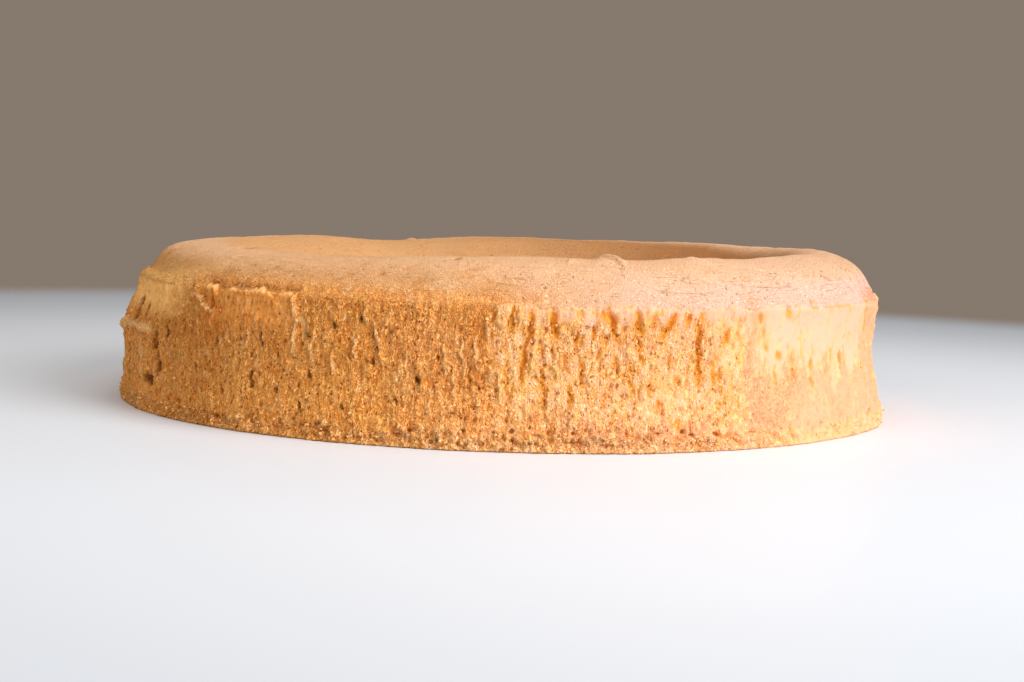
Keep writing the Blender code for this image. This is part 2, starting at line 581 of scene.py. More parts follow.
def makeSkinGroup():
    # the relief of the unbroken skin, which the side and the foot of the crust share
    inputs = {"Place": "Vector", "Swell": 1.4, "Wrinkles": 2.0, "Welts": 0.5}
    tree, entry, leave = newGroup("skinRelief", "GeometryNodeTree", inputs, ["Relief", "Fine", "Welt"])
    place = entry["Place"]
    upright = warped(stretched(place, 1.0, 0.34), 5, 3.0)
    swell = (grain(place, 15, 1.0) - 0.5) * entry["Swell"]
    wrinkles = (grain(upright, 2.3, 3.0, 0.55) - 0.5) * entry["Wrinkles"]
    lines = ridged(grain(shifted(upright, (0.3, 0.1, 0.2)), 3.0, 1.0), 0.045)
    patches = ramp(grain(place, 7, 2.0), 0.48, 0.58)
    welt = lines * patches
    grit = (grain(place, 1.2, 2.0, 0.7) - 0.5) * 1.3
    fine = wrinkles + welt * entry["Welts"] + grit
    finishGroup(leave, {"Relief": (swell + fine) * mm, "Fine": fine * mm, "Welt": welt})
    return tree


zoneGroup = makeZoneGroup()
skinGroup = makeSkinGroup()

rayStart = 20 * mm  # this far out along the guide
rayLength = 60 * mm


def newSurface(name, objects, numbers):
    # a tree for a whole piece, which reads its mesh, its finish, other objects and numbers
    inputs = {"Geometry": "Geometry", "Material": "Material", **dict.fromkeys(objects, "Object"), **numbers}
    return newGroup(name, "GeometryNodeTree", inputs, ["Geometry"])


def laidOnForm(tree, entry, liftShift):
    # where each point meets the guide form, looking in along its guide
    start = out(put(tree, "GeometryNodeInputPosition"))
    guide = namedValue(tree, "guide", "FLOAT_VECTOR")
    start = shifted(start, fromParts(tree, z=liftShift * namedValue(tree, "lift")))
    form = out(put(tree, "GeometryNodeObjectInfo", {"Object": entry["Guide form"]}), "Geometry")
    ray = put(tree, "GeometryNodeRaycast", {
        "Target Geometry": form,
        "Source Position": shifted(start, scaled(guide, rayStart)),
        "Ray Direction": scaled(guide, -1.0),
        "Ray Length": rayLength,
    })
    hit = out(ray, "Hit Position")
    follow = namedValue(tree, "follow") * out(ray, "Is Hit")
    laid = shifted(scaled(start, 1.0 - follow), scaled(hit, follow))
    return vectorDo("SUBTRACT", laid, fromParts(tree, z=namedValue(tree, "drop"))), guide


def startSurface(tree, entry, edgeLabel):
    # the points laid on the guide form, and the zones before and after that
    first = out(put(tree, "GeometryNodeInputPosition"))
    edges = useGroup(tree, zoneGroup, {"Place": first})
    place, guide = laidOnForm(tree, entry, out(edges, edgeLabel))
    zones = useGroup(tree, zoneGroup, {"Place": place})
    skin = useGroup(tree, skinGroup, {"Place": place})
    return place, guide, edges, zones, skin


def onRoundWall(direction, height):
    # the place that the wall would have without its relief, where the marks are looked up
    return shifted(scaled(direction, wallRadius), fromParts(direction.tree, z=height))


def finishSurface(entry, leave, spot, values):
    # the points moved to their spots, with the values that the finishes read
    tree = spot.tree
    moved = out(put(tree, "GeometryNodeSetPosition", {"Geometry": entry["Geometry"], "Position": spot}))
    for name, value in values.items():
        moved = storeValue(moved, name, value)
    finishGeometry(leave, moved, entry["Material"])


# the side is crumb and skin from the foot to the lip, with the underside
side = {
    "columns": 1200,
    "wallRows": 70,
    "footCast": 1.8,  # rows below this height in mm are laid on the form at this height
    "insideHeight": 31,  # where the shell is closed, in mm
    "relief": {
        "Torn recess": 0.45,
        "Torn roughness": 2.4,
        "Pore depth": 0.50,
        "Band height": 4.6,
        "Band roughness": 6.5,
    },
}
# marks on the wall: azimuth and height at both ends, half width and depth
cuts = [
    (1, 37.6, 0.9, 31.8, 0.75, 1), (3.4, 37.4, 3.3, 30.7, 0.8, 1.1), (5.9, 37, 6.6, 30.6, 1.2, 1.5),
    (2.9, 29.6, 2.2, 17.6, 0.8, 1.2), (4.9, 21.5, 5.4, 10.8, 0.8, 0.5), (7.6, 25.2, 8.2, 21, 0.7, 0.8),
    (8.7, 17.4, 8.6, 11.6, 0.6, 0.8), (10.2, 23.1, 10, 16.4, 0.6, 0.7), (12.4, 37.6, 13, 35.2, 0.8, 0.9),
    (13.4, 37.9, 14.4, 30.9, 1.1, 1.5), (14.7, 24.8, 14.9, 19.2, 0.6, 0.8),
    (17.3, 37.6, 17.9, 31, 1.1, 1.5), (22.7, 37, 20.9, 30.5, 1.1, 1.4),
    (26.3, 36.9, 26.9, 17.6, 0.95, 1.4), (25, 36.8, 24.4, 34.6, 0.8, 0.9),
    (31.3, 32.8, 30.8, 28.2, 0.9, 1), (18, 26.1, 18.4, 23, 0.6, 0.7), (17.2, 30.4, 18.2, 26.8, 0.9, 0.9),
    (23.3, 19.8, 23.7, 17, 0.6, 0.8), (21.9, 27, 22.4, 22.4, 0.6, 0.6), (28.9, 24.2, 29.3, 17, 0.6, 0.6),
    (11.6, 33.4, 11.4, 29.5, 0.6, 0.7), (9.3, 31, 9.1, 29.2, 0.8, 0.8),
    (15.6, 20.8, 16.9, 17.8, 0.7, 0.8), (28.1, 30.2, 28.6, 28.2, 0.5, 0.6),
    (30, 21.6, 30.4, 14.5, 0.5, 0.6), (20.6, 13.8, 21.4, 10, 0.5, 0.7), (0.2, 24, 0.6, 14, 0.5, 0.6),
    (-4.4, 24.2, -4.2, 15, 0.45, 0.5), (12.3, 27.4, 12.1, 24, 0.5, 0.6), (36.6, 37, 36.7, 34.6, 0.8, 0.8),
    (37.4, 32.6, 37.6, 30.2, 0.7, 0.8), (38.2, 27.4, 38.4, 26, 0.7, 0.7), (40.4, 25.8, 41, 24, 0.9, 0.9),
    (41.6, 38.2, 42.2, 36.4, 1, 1.1), (47.2, 38.9, 48.4, 38.6, 0.8, 0.9),
    (50.4, 38.7, 58.6, 38.6, 0.4, 0.35), (57, 24.2, 57.2, 18, 0.95, 1.9),
    (48.4, 23, 48.5, 20.6, 0.9, 1.2), (48.2, 18.2, 48.3, 15.2, 0.7, 1), (43.6, 25.2, 44, 17, 0.45, 0.4),
    (53.6, 25.2, 53.8, 21.8, 0.7, 0.8), (52.2, 24.4, 52.4, 17.2, 0.5, 0.5), (66, 38, 66.8, 29, 1.3, 1.1),
    (58.5, 25.6, 58.8, 17.4, 0.5, 0.5), (40, 22, 40.5, 14, 0.5, 0.5),
    (-43.2, 37.4, -43.7, 29.6, 0.42, 0.8), (-67.6, 32, -67, 26.8, 3.2, 3.6),
    (-56.6, 23, -57.4, 19, 1.8, 2.9), (-56, 17.2, -55.5, 11.8, 1.7, 2.7),
    (-60.2, 9.8, -57.6, 9.2, 1.7, 2.2), (-69.4, 18, -69, 8, 2.2, 1.8), (-78.5, 18.5, -77.6, 6, 4.2, 2.2),
    (-61.8, 31, -61.6, 27.6, 1.2, 1.1), (-53.4, 27.6, -53.1, 21, 0.6, 0.8),
    (-6.9, 9.5, -5.7, 9.5, 0.35, 0.5), (-5.7, 9.4, -4.5, 7.9, 0.35, 0.6),
    (-26.6, 28.2, -25.6, 27, 0.5, 0.9), (-41.6, 24.2, -41.4, 22.4, 0.55, 1.3),
    (-33.4, 27.4, -33, 24, 0.5, 1.3), (-45.7, 16.7, -45.5, 15.2, 0.8, 1.2),
    (-34.8, 16.6, -34.6, 12.4, 0.6, 1.4), (-25.6, 18.2, -25.4, 15.8, 0.6, 1.3),
    (-40.2, 10.8, -39.8, 9.2, 0.65, 1.4), (-22.4, 31.6, -22.1, 30, 0.55, 1.3),
    (-11, 18.6, -10.6, 17, 0.75, 1.6), (-18.9, 33.8, -18.5, 32, 0.5, 1),
    (-16.9, 22.4, -16.7, 20.8, 0.5, 1), (-13.6, 12.6, -13.4, 11.2, 0.55, 1.1),
    (-20.8, 10, -20.5, 8.6, 0.6, 1.1), (-30.6, 13, -30.4, 11.6, 0.55, 1.1),
    (-8.4, 24.4, -8.2, 23, 0.5, 1), (-3, 16.8, -2.8, 15.6, 0.55, 1), (-26.9, 9.6, -26.6, 7.6, 0.7, 1.2),
    (-14.8, 30.6, -14.6, 29.4, 0.45, 0.9), (-48.9, 27, -48.7, 24.6, 0.5, 0.9),
    (-37, 20, -36.8, 16.4, 0.4, 0.6), (-30.4, 22.6, -30.3, 20.6, 0.4, 0.6),
    (-16.4, 26.2, -16, 24.8, 0.4, 0.6),
]
welts = [
    (-28.7, 37.8, -27.9, 31.4, 0.72, 1.7), (-28, 31.4, -27.9, 21.6, 0.6, 1.4),
    (-5.4, 29.5, -5.2, 22.8, 0.52, 0.8), (-3.7, 29.6, -3.3, 21, 0.55, 0.9),
    (-2.3, 35, -1.9, 27.6, 0.55, 0.8), (-1.2, 38.4, -0.4, 31.5, 0.6, 0.9),
    (3.9, 30.2, 3.5, 19.8, 0.53, 0.94), (1.9, 37, 1.8, 32.4, 0.53, 0.73),
    (-18.4, 36.6, -17.8, 31.4, 0.53, 0.73), (-17.2, 33.6, -15.8, 24.6, 0.53, 0.84),
    (-19.4, 28.8, -19.2, 22, 0.53, 0.84), (-35.6, 27.4, -35.4, 23, 0.53, 0.73),
    (-33.9, 22.4, -33.6, 17, 0.53, 0.73), (-39.6, 28.2, -39.4, 24, 0.53, 0.62),
    (-25.6, 25.8, -25.2, 20.8, 0.53, 0.73), (-22.4, 24.4, -22, 17.8, 0.53, 0.73),
    (-12.4, 24.6, -12.2, 17.6, 0.53, 0.62), (-7.6, 27.6, -7.2, 19, 0.53, 0.73),
    (-6.4, 21, -6, 14, 0.53, 0.62), (-0.6, 21, -0.2, 12.6, 0.53, 0.73), (-73.5, 23, -70.5, 24, 2.1, 2),
    (-68.5, 23.8, -64.5, 24.4, 1.8, 1.7), (-62.4, 24.4, -60.4, 24, 1.9, 1.9),
    (-59.2, 25.6, -58.4, 22.6, 1.5, 1.9), (-62.4, 21.6, -61.8, 9.6, 1.5, 0.6),
    (-49, 39.8, -43.7, 31.6, 0.8, 1.8), (33.6, 30.6, 33.8, 19.6, 0.68, 0.53), (5.6, 13, 6, 8, 0.53, 0.73),
    (6.6, 29.6, 6.8, 19, 0.53, 0.73), (16, 30, 16.4, 22, 0.55, 0.73),
    (19.4, 25.6, 19.8, 16.4, 0.53, 0.73),
]
# smooth greyish spots where the skin was rubbed off
scars = [
    (-27, 32.8, -26.3, 27.6, 0.95, 0.45), (-11, 16, -10.7, 15, 0.8, 0.25), (112, 31, 112.6, 25, 0.9, 0.5),
    (-140, 22, -139.6, 18, 0.8, 0.5),
]


def strewnMarks(seed, count, arcs, heights, lengths, reaches, depths):
    # more marks of the same kind for the far side
    draw = random.Random(seed)
    marks = []
    for _ in range(count):
        first, last = draw.choice(arcs)
        azimuth = draw.uniform(first, last)
        top = draw.uniform(*heights)
        length = min(draw.uniform(*lengths), top - 5)
        end = azimuth + draw.uniform(-0.8, 0.8)
        marks.append((azimuth, top, end, top - length, draw.uniform(*reaches), draw.uniform(*depths)))
    return marks


def sideRings():
    columns = side["columns"]
    inside = side["insideHeight"] * mm
    rings = [Ring(0, 0.9 * mm, -90, 1, 0.5)]
    for radii, share in [((5, 11), 16), ((18, 26), 8), ((34, 46), 4), ((58, 72, 84), 2), ((94, 103, 111), 1)]:
        for radius in radii:
            rings.append(Ring(radius * mm, 0.0, -90, columns // share, 0.5, -0.75 * mm))
    rings.append(Ring(116.5 * mm, 0.0, -90, columns, 0.3, -0.45 * mm, follow=0))
    rings.append(Ring(119.7 * mm, 0.0, -90, columns, 0.0, follow=0))
    for row, height in enumerate(spaced(0.14 * mm, lipHeight, side["wallRows"])):
        lift = max(0.0, (height - 26 * mm) / (lipHeight - 26 * mm)) ** 1.5
        drop = max(0.0, side["footCast"] * mm - height)  # the guide form is rounded off below this
        relief = min(1.0, 0.3 + 0.2 * row)
        rings.append(Ring(wallRadius, height + drop, 0, columns, relief, drop * 0.3, lift, 1.0, drop))
    for above, relief, tuck, lift in [(0.10, 0.8, -0.35, 1.0), (-0.10, 0.6, -1.1, 1.0), (-3, 0.3, -4, 0.3)]:
        rings.append(Ring(wallRadius, lipHeight + above * mm, 0, columns, relief, tuck * mm, lift))
    for radius, share in [(106, 2), (90, 4), (60, 8), (25, 16)]:
        rings.append(Ring(radius * mm, inside, 90, columns // share, relief=0, follow=0))
    rings.append(Ring(0, inside, 90, 1, relief=0, follow=0))
    return rings


def makeSideTree():
    marks = ["Cuts", "Welts", "Scars"]
    tree, entry, leave = newSurface("sideSurface", ["Guide form", *marks], side["relief"])
    place, guide, edges, zones, skin = startSurface(tree, entry, "Skin edge")
    torn = out(zones, "Torn")
    ledge = out(zones, "Ledge")
    pale = out(zones, "Pale")
    _, direction, height = flatParts(place)
    aboveSkinEdge = height - out(edges, "Skin edge")
    aboveCrustEdge = height - out(zones, "Crust edge")
    wallPlace = onRoundWall(direction, height)
    cutDepth, cutShare, cutNear = markDepth(tree, entry["Cuts"], wallPlace)
    weltDepth, _, weltNear = markDepth(tree, entry["Welts"], wallPlace)
    scarDepth, scarShare, _ = markDepth(tree, entry["Scars"], wallPlace)

    upright = warped(stretched(place, 1.0, 0.42), 6, 4.0)
    channels = (grain(upright, 3.2, 3.0, 0.6) - 0.5) * entry["Torn roughness"] * mm
    furrows = ridged(grain(shifted(upright, (0.1, 0.4, 0.2)), 3.6, 1.0), 0.05)
    furrows = furrows * ramp(grain(place, 8, 1.0), 0.44, 0.56)
    distance, number = cells(stretched(place, 1.0, 0.75), 1.6)
    pores = fall(distance, 0.12, 0.42) * ramp(number, 0.62, 0.66)
    bandTop = entry["Band height"] * mm
    stray = (grain(place, 6, 1.0) - 0.5) * 5 * mm
    band = fall(height + stray, bandTop * 0.7, bandTop * 1.35)
    clods = (grain(place, 2.4, 3.0, 0.65) - 0.5) * entry["Band roughness"] * mm
    notchDistance, notchNumber = cells(stretched(place, 0.8, 1.3), 2.6)
    notches = fall(notchDistance, 0.12, 0.40) * ramp(notchNumber, 0.50, 0.55)
    notches = notches * fall(sizeOf(height - 4.2 * mm), 0.8 * mm, 2.6 * mm)
    topNear = ramp(aboveSkinEdge, lipHeight - 3.0 * mm, lipHeight - 0.4 * mm)
    covered = ramp(aboveCrustEdge, lipHeight - 0.8 * mm, lipHeight + 0.4 * mm)

    fine = out(skin, "Fine") * (1.0 - torn * 0.4) * (1.0 - ledge * topNear * 0.8)
    fine = fine + torn * (channels - furrows * 0.6 * mm)
    fine = fine - pores * (0.6 + 0.4 * torn) * entry["Pore depth"] * mm
    fine = fine + band * clods - notches * 1.2 * mm
    fine = fine * (1.0 - ramp(pale, 0.35, 0.85) * 0.92) * (1.0 - scarShare)
    fine = fine - cutDepth + weltDepth - scarDepth
    recess = entry["Torn recess"] * ramp(height, lipHeight - 8 * mm, lipHeight, 1.0, 0.35)
    relief = out(skin, "Relief") - out(skin, "Fine") + fine - torn * recess * mm
    relief = relief + topNear * ledge * 0.75 * mm - covered * (1.0 - ledge) * 0.5 * mm
    relief = relief - out(zones, "Sunken") * leanIn
    relief = relief * namedValue(tree, "relief") + namedValue(tree, "tuck")
    cutTone = ramp(cutDepth, 0.05 * mm, 0.6 * mm) * (0.60 + cutShare * 0.40)
    finishSurface(entry, leave, shifted(place, scaled(guide, relief)), {
        "torn": torn,
        "pale": pale,
        "tornSide": out(zones, "Torn side"),
        "cut": largest(cutTone, furrows * torn * 0.7),
        "welt": largest(ramp(weltDepth, 0.05 * mm, 0.35 * mm), out(skin, "Welt") * 0.6),
        "weltNear": weltNear,
        "pore": largest(pores * (1.0 - pale), notches),
        "band": band,
        "ledge": ledge * ramp(aboveSkinEdge, lipHeight - 0.65 * mm, lipHeight - 0.1 * mm),
        "veil": ramp(aboveCrustEdge, lipHeight - 7 * mm, lipHeight - 1.0 * mm),
        "scar": scarShare,
        "polish": ledge * ramp(height + stray * 0.6, 27 * mm, 32 * mm),
        "cutNear": cutNear,
        "blond": zoneShare(direction, *softZones["blond"]) * ramp(height, 26 * mm, 33 * mm),
        "browned": zoneShare(direction, *softZones["sideDarkerAtLeft"]),
        "bulge": fine / mm,
    })
    return tree


# the top crust goes from its ragged lower edge over the crest and down into the sunken centre
crust = {
    "columns": 880,
    "crestRadius": 94 * mm,
    "insideHeight": 29,  # where the shell is closed, in mm
    "relief": {"Swell": 0.9, "Ripple": 0.30, "Creases": 0.28},
}
# azimuth and radius at both ends, half width and depth; a negative depth is a bump
dents = [
    (16.2, 98.5, 17.6, 97.6, 6, -1.9), (10.4, 99.5, 9.6, 98.6, 4.2, -0.8), (31, 100, 33, 99, 5, -0.7),
    (-55, 92.6, -59.8, 87.6, 2.9, 3.2), (-8.3, 96.2, -8, 98.2, 1.8, 3),
    (-18.6, 108.4, -17.4, 108.5, 0.55, 0.8), (-52, 104.5, -44, 107, 0.8, 0.5),
    (-44, 107, -38, 109.2, 0.7, 0.45), (36, 104.8, 38.6, 105.4, 0.9, 0.45),
    (40.2, 106.6, 42.8, 107.2, 0.9, 0.45), (-28.4, 111.8, -27.8, 111.9, 0.4, 0.7),
    (63, 107, 68, 106.4, 0.7, 0.4), (96, 103, 99, 104, 1.3, 0.7), (141, 99, 144, 98.2, 1, 1.1),
    (172, 105, 176, 104.6, 0.8, 0.6), (-158, 101, -160, 101.6, 4.5, -0.9),
    (-120, 106, -123.5, 105, 0.9, 0.8), (-95, 98, -97, 97, 1.4, 0.9), (70, 62, 76, 58, 2.2, 0.9),
    (-32, 55, -40, 50, 2.6, -0.9), (155, 48, 163, 52, 1.8, 0.8), (10, 30, 30, 26, 1.6, 0.6),
    (-110, 22, -140, 30, 2.4, -0.7), (110, 78, 113, 76, 1.2, 1), (-75, 76, -78, 74, 1.3, 0.9),
    (-172, 74, -176, 72, 1.6, 0.8), (28, 72, 32, 71, 1.2, 0.7),
]


def crustRings():
    columns = crust["columns"]
    inside = crust["insideHeight"]
    edge = lipHeight - 0.6 * mm
    edgeCurl = [(1.0, -2.6), (0.2, -1.6), (0.0, -1.0), (0.3, -0.7), (0.8, -0.42), (1.3, -0.2), (1.8, -0.06)]
    rings = [Ring(0, inside * mm, -90, 1, relief=0, follow=0)]
    for radius, share in [(25, 4), (60, 4), (90, 2), (107, 1)]:
        rings.append(Ring(radius * mm, inside * mm, -90, columns // share, relief=0, follow=0))
    rings.append(Ring(112.5 * mm, (inside + 2) * mm, 0, columns, relief=0, follow=0))
    for height, tuck in edgeCurl:
        rings.append(Ring(wallRadius, edge + height * mm, 0, columns, 0.7, tuck * mm, 1.0))
    shoulderHeight = lipHeight + 1.7 * mm
    crestRadius = crust["crestRadius"]
    across = wallRadius - crestRadius
    rise = crestHeight - 1.2 * mm - shoulderHeight
    for turn in spaced(0, 90, 44):
        outward = math.cos(math.radians(turn))
        upward = math.sin(math.radians(turn))
        tilt = math.degrees(math.atan2(upward * across, outward * rise))
        lift = 0.93 * (1 - turn / 90) ** 5
        radius = crestRadius + across * outward
        rings.append(Ring(radius, shoulderHeight + rise * upward, tilt, columns, 1.0, 0, lift))
    for first, last, count, drop, share in [
        (crestRadius - 0.9 * mm, 58 * mm, 36, 4, 1),
        (56.8 * mm, 30 * mm, 22, 8, 2),
        (28.8 * mm, 3 * mm, 18, 8, 4),
    ]:
        for radius in spaced(first, last, count):
            rings.append(Ring(radius, crestHeight - drop * mm, 90, columns // share))
    rings.append(Ring(0, crestHeight - 8 * mm, 90, 1))
    return rings


def makeCrustTree():
    marks = ["Dents", "Cuts"]
    tree, entry, leave = newSurface("crustSurface", ["Guide form", *marks], crust["relief"])
    place, guide, edges, zones, skin = startSurface(tree, entry, "Crust edge")
    level, direction, height = flatParts(place)
    dentDepth, dentShare, _ = markDepth(tree, entry["Dents"], level)
    cutDepth, _, _ = markDepth(tree, entry["Cuts"], onRoundWall(direction, height))
    radius = lengthOf(level)
    outer = ramp(radius, 104 * mm, 110 * mm)
    crestNear = ramp(radius, 62 * mm, 88 * mm)
    cutDepth = cutDepth * fall(height, lipHeight + 2 * mm, lipHeight + 5 * mm) * outer

    swell = (grain(place, 18, 2.0) - 0.5) * entry["Swell"]
    ripple = (grain(place, 4.5, 3.0) - 0.5) * entry["Ripple"]
    layered = warped(stretched(place, 0.28, 1.6), 6, 1.6)
    shoulder = ramp(height, 40 * mm, 43 * mm) * fall(height, 47 * mm, 49.5 * mm)
    creases = ridged(grain(layered, 3.0, 1.0), 0.022)
    creases = creases * ramp(grain(place, 12, 1.0), 0.46, 0.56) * shoulder
    distance, number = cells(place, 2.6)
    pinholes = fall(distance, 0.06, 0.22) * ramp(number, 0.76, 0.78)
    top = (swell + ripple - creases * entry["Creases"] - pinholes * 0.6) * mm
    risen = 1.0 - fall(height, lipHeight + 0.5 * mm, lipHeight + 5 * mm) * outer
    relief = blend(risen, out(skin, "Relief") * 0.8, top) - dentDepth - cutDepth * 0.8
    ledge = out(zones, "Ledge") * outer
    behindLedge = ledge * fall(height, lipHeight + 0.2 * mm, lipHeight + 2.6 * mm)
    relief = relief + 0.05 * mm - behindLedge * 0.65 * mm - out(zones, "Sunken") * leanIn
    relief = relief * namedValue(tree, "relief") + namedValue(tree, "tuck")
    uneven = zoneShare(direction, *softZones["raised"]) * raisedBy * mm
    uneven = uneven - zoneShare(direction, *softZones["lowered"]) * loweredBy * mm
    belowCrest = fall(height, lipHeight + 3 * mm, crestHeight - 1.5 * mm) * outer
    uneven = uneven * (1.0 - belowCrest) * crestNear
    spot = shifted(place, scaled(guide, relief))
    blond = zoneShare(direction, *softZones["blond"]) * fall(height, 39 * mm, 46 * mm)
    fromEdge = sizeOf(height - lipHeight - out(edges, "Skin edge"))
    finishSurface(entry, leave, shifted(spot, fromParts(tree, z=uneven)), {
        "risen": risen,
        "tornSide": out(zones, "Torn side") * outer,
        "blond": blond * outer,
        "browned": zoneShare(direction, *softZones["crustDarkerAtLeft"]) * outer,
        "crease": creases,
        "dent": ramp(dentDepth / dentShare, 1.1 * mm, 1.3 * mm) * ramp(dentShare, 0.03, 0.25),
        "cut": ramp(cutDepth, 0.05 * mm, 0.6 * mm),
        "pore": pinholes,
        "ledge": ledge * fall(fromEdge, 0.2 * mm, 1.2 * mm),
    })
    return tree


# the finishes are mixed from these tones
tones = {
    "skin": (0.860, 0.345, 0.074, 1),
    "skinDark": (0.775, 0.275, 0.050, 1),
    "skinLight": (0.950, 0.460, 0.130, 1),
    "blond": (0.990, 0.590, 0.205, 1),
    "skinPale": (0.930, 0.390, 0.224, 1),
    "crumb": (0.930, 0.458, 0.318, 1),
    "crumbWarm": (0.950, 0.470, 0.135, 1),
    "cream": (0.985, 0.565, 0.262, 1),
    # painted shade, warm, in cuts and furrows
    "grooveShade": (0.860, 0.350, 0.045, 1),
    # painted highlight on welts and on the ledge's edge
    "welt": (1.000, 0.560, 0.220, 1),
    # painted shade in cuts of the skin, in dents and above ledges
    "gapShade": (0.230, 0.075, 0.018, 1),
    "scar": (0.400, 0.240, 0.095, 1),
    "crust": (0.780, 0.400, 0.160, 1),
    "crustRosy": (0.860, 0.480, 0.235, 1),
    "crustDark": (0.700, 0.330, 0.110, 1),
    "crustPale": (0.880, 0.572, 0.458, 1),
    # the hollow's tone at its lit left, and its painted shade at the right
    "hollow": (0.870, 0.465, 0.205, 1),
    "hollowShadedRight": (0.430, 0.185, 0.065, 1),
    # painted light on the crest
    "crown": (0.930, 0.560, 0.320, 1),
    "flour": (0.900, 0.640, 0.420, 1),
}
shades = {  # what a tone is multiplied by in red, green and blue
    # painted shade in the hollows of the grit, painted highlight on its heads
    "gritHollowShade": (0.76, 0.62, 0.48),
    "gritHeadHighlight": (1.22, 1.36, 1.50),
    "lowerSkin": (1.14, 1.22, 1.31),
    "warmCrumb": (0.90, 0.80, 0.66),
    "veil": (0.98, 0.74, 0.66),
    "sideDarkerAtLeft": (0.86, 0.81, 0.73),
    # painted shade in the hollows of the relief, painted highlight on its raised parts
    "hollowReliefShade": (0.98, 0.70, 0.38),
    "raisedReliefHighlight": (1.06, 1.16, 1.30),
    # painted shade round cuts and welts
    "shadeNearMarks": (0.93, 0.72, 0.40),
    # holes painted darker: painted shade
    "sideHoleShade": (0.48, 0.29, 0.15),
    "crustDarkerAtLeft": (0.89, 0.83, 0.69),
    "farRight": (0.92, 0.90, 0.84),
    # holes painted darker: painted shade
    "crustHoleShade": (0.42, 0.27, 0.18),
}
bakes = {  # the size of the patches in mm, and how far the streaks are drawn out upright
    "skin": (11.0, 0.45),
    "skinFlecks": (2.4, 0.6),
    "crust": (16.0, 1.0),
    "crustFlecks": (3.2, 1.0),
    "looseCrumb": (2.2, 1.0),
}
bubbleLooks = {
    "side": {"Size": 1.0, "Share": 0.775, "Upright": 0.62},
    "band": {"Size": 1.5, "Share": 0.70, "Upright": 1.0},
    "crust": {"Size": 0.85, "Share": 0.45, "Upright": 1.0},
}
paleLitAzimuth = 72  # the middle of the pale side


def shaded(share, tone, name):
    return tint(share, tone, vectorDo("MULTIPLY", tone, shades[name]))


def attributes(tree, *names):
    return [out(put(tree, "ShaderNodeAttribute", attribute_name=name), "Fac") for name in names]


def makePoreGroup():
    # fine open bubbles: specks in a few sizes, the height they sink by, and the gritty walls between them
    inputs = {"Place": "Vector", "Size": 1.0, "Share": 0.5, "Upright": 0.7}
    tree, entry, leave = newGroup("openBubbles", "ShaderNodeTree", inputs, ["Bubbles", "Height", "Grit"])
    squeeze = fromParts(tree, 1.0, 1.0, entry["Upright"])
    place = vectorDo("MULTIPLY", warped(entry["Place"], 1.0, 0.7), squeeze)
    holes = []
    for size, rarity in [(0.95, 0.00), (1.6, 0.05), (2.8, 0.45)]:
        scale = calculate(tree, "DIVIDE", 1.0 / (size * mm), entry["Size"])
        node = put(tree, "ShaderNodeTexVoronoi", {"Vector": place, "Scale": scale})
        number = partsOf(out(node, "Color"))[0]
        kept = ramp(number + entry["Share"], 1.0 + rarity * 0.5, 1.12 + rarity * 0.5)
        holes.append(fall(out(node, "Distance") + (number - 0.5) * 0.12, 0.10, 0.26) * kept)
    bubbles = largest(*holes)
    lumps = []
    for size, rough in [(0.42, 0.7), (0.95, 0.5)]:
        scale = calculate(tree, "DIVIDE", 1.0 / (size * mm), entry["Size"])
        inputs = {"Vector": place, "Scale": scale, "Detail": 1.0, "Roughness": rough}
        lumps.append(out(put(tree, "ShaderNodeTexNoise", inputs)))
    grit = ramp(lumps[0] * 0.7 + lumps[1] * 0.3, 0.38, 0.62)
    finishGroup(leave, {"Bubbles": bubbles, "Height": grit * 0.9 - bubbles, "Grit": grit})
    return tree


def makeBakeGroup():
    # uneven baking: broad patches, and fine upright streaks where the skin clung to the tin
    inputs = {"Place": "Vector", "Patch size": 10.0, "Streak": 0.25}
    tree, entry, leave = newGroup("unevenBake", "ShaderNodeTree", inputs, ["Patches", "Streaks"])
    place = entry["Place"]
    scale = calculate(tree, "DIVIDE", 1.0 / mm, entry["Patch size"])
    inputs = {"Vector": place, "Scale": scale, "Detail": 4.0, "Roughness": 0.6}
    patches = put(tree, "ShaderNodeTexNoise", inputs)
    squeeze = fromParts(tree, 1.0, 1.0, entry["Streak"])
    streaks = grain(warped(vectorDo("MULTIPLY", place, squeeze), 5, 2), 1.7, 4.0, 0.6)
    finishGroup(leave, {"Patches": ramp(out(patches), 0.33, 0.67), "Streaks": ramp(streaks, 0.33, 0.67)})
    return tree


def makePaleLitSideGroup():
    # one side of the cake is paler: partly paler baking, partly painted highlight on the side that the window
    # light falls on
    tree, entry, leave = newGroup("paleLitSide", "ShaderNodeTree", {"Place": "Vector"}, ["Paleness"])
    away = aroundAxis(paleLitAzimuth, 1 / footRadius, 0)
    facing = vectorDo("DOT_PRODUCT", entry["Place"], away, name="Value")
    stray = (grain(entry["Place"], 22, 3.0) - 0.5) * 0.7
    finishGroup(leave, {"Paleness": ramp(facing + stray, -0.05, 1.1)})
    return tree


poreGroup = makePoreGroup()
paleLitSideGroup = makePaleLitSideGroup()
bakeGroup = makeBakeGroup()


def finishMaterial(shader, tone, height, distance, strength=1.0):
    bump = put(tone.tree, "ShaderNodeBump", {"Height": height, "Distance": distance, "Strength": strength})
    tone.tree.links.new(tone.socket, shader.inputs["Base Color"])
    tone.tree.links.new(bump.outputs["Normal"], shader.inputs["Normal"])


def bakeAt(tree, place, name):
    patchSize, streak = bakes[name]
    bake = useGroup(tree, bakeGroup, {"Place": place, "Patch size": patchSize, "Streak": streak})
    return out(bake, "Patches"), out(bake, "Streaks")


def bubblesAt(tree, place, name):
    bubbles = useGroup(tree, poreGroup, {"Place": place, **bubbleLooks[name]})
    return out(bubbles, "Grit"), out(bubbles, "Bubbles"), out(bubbles, "Height")


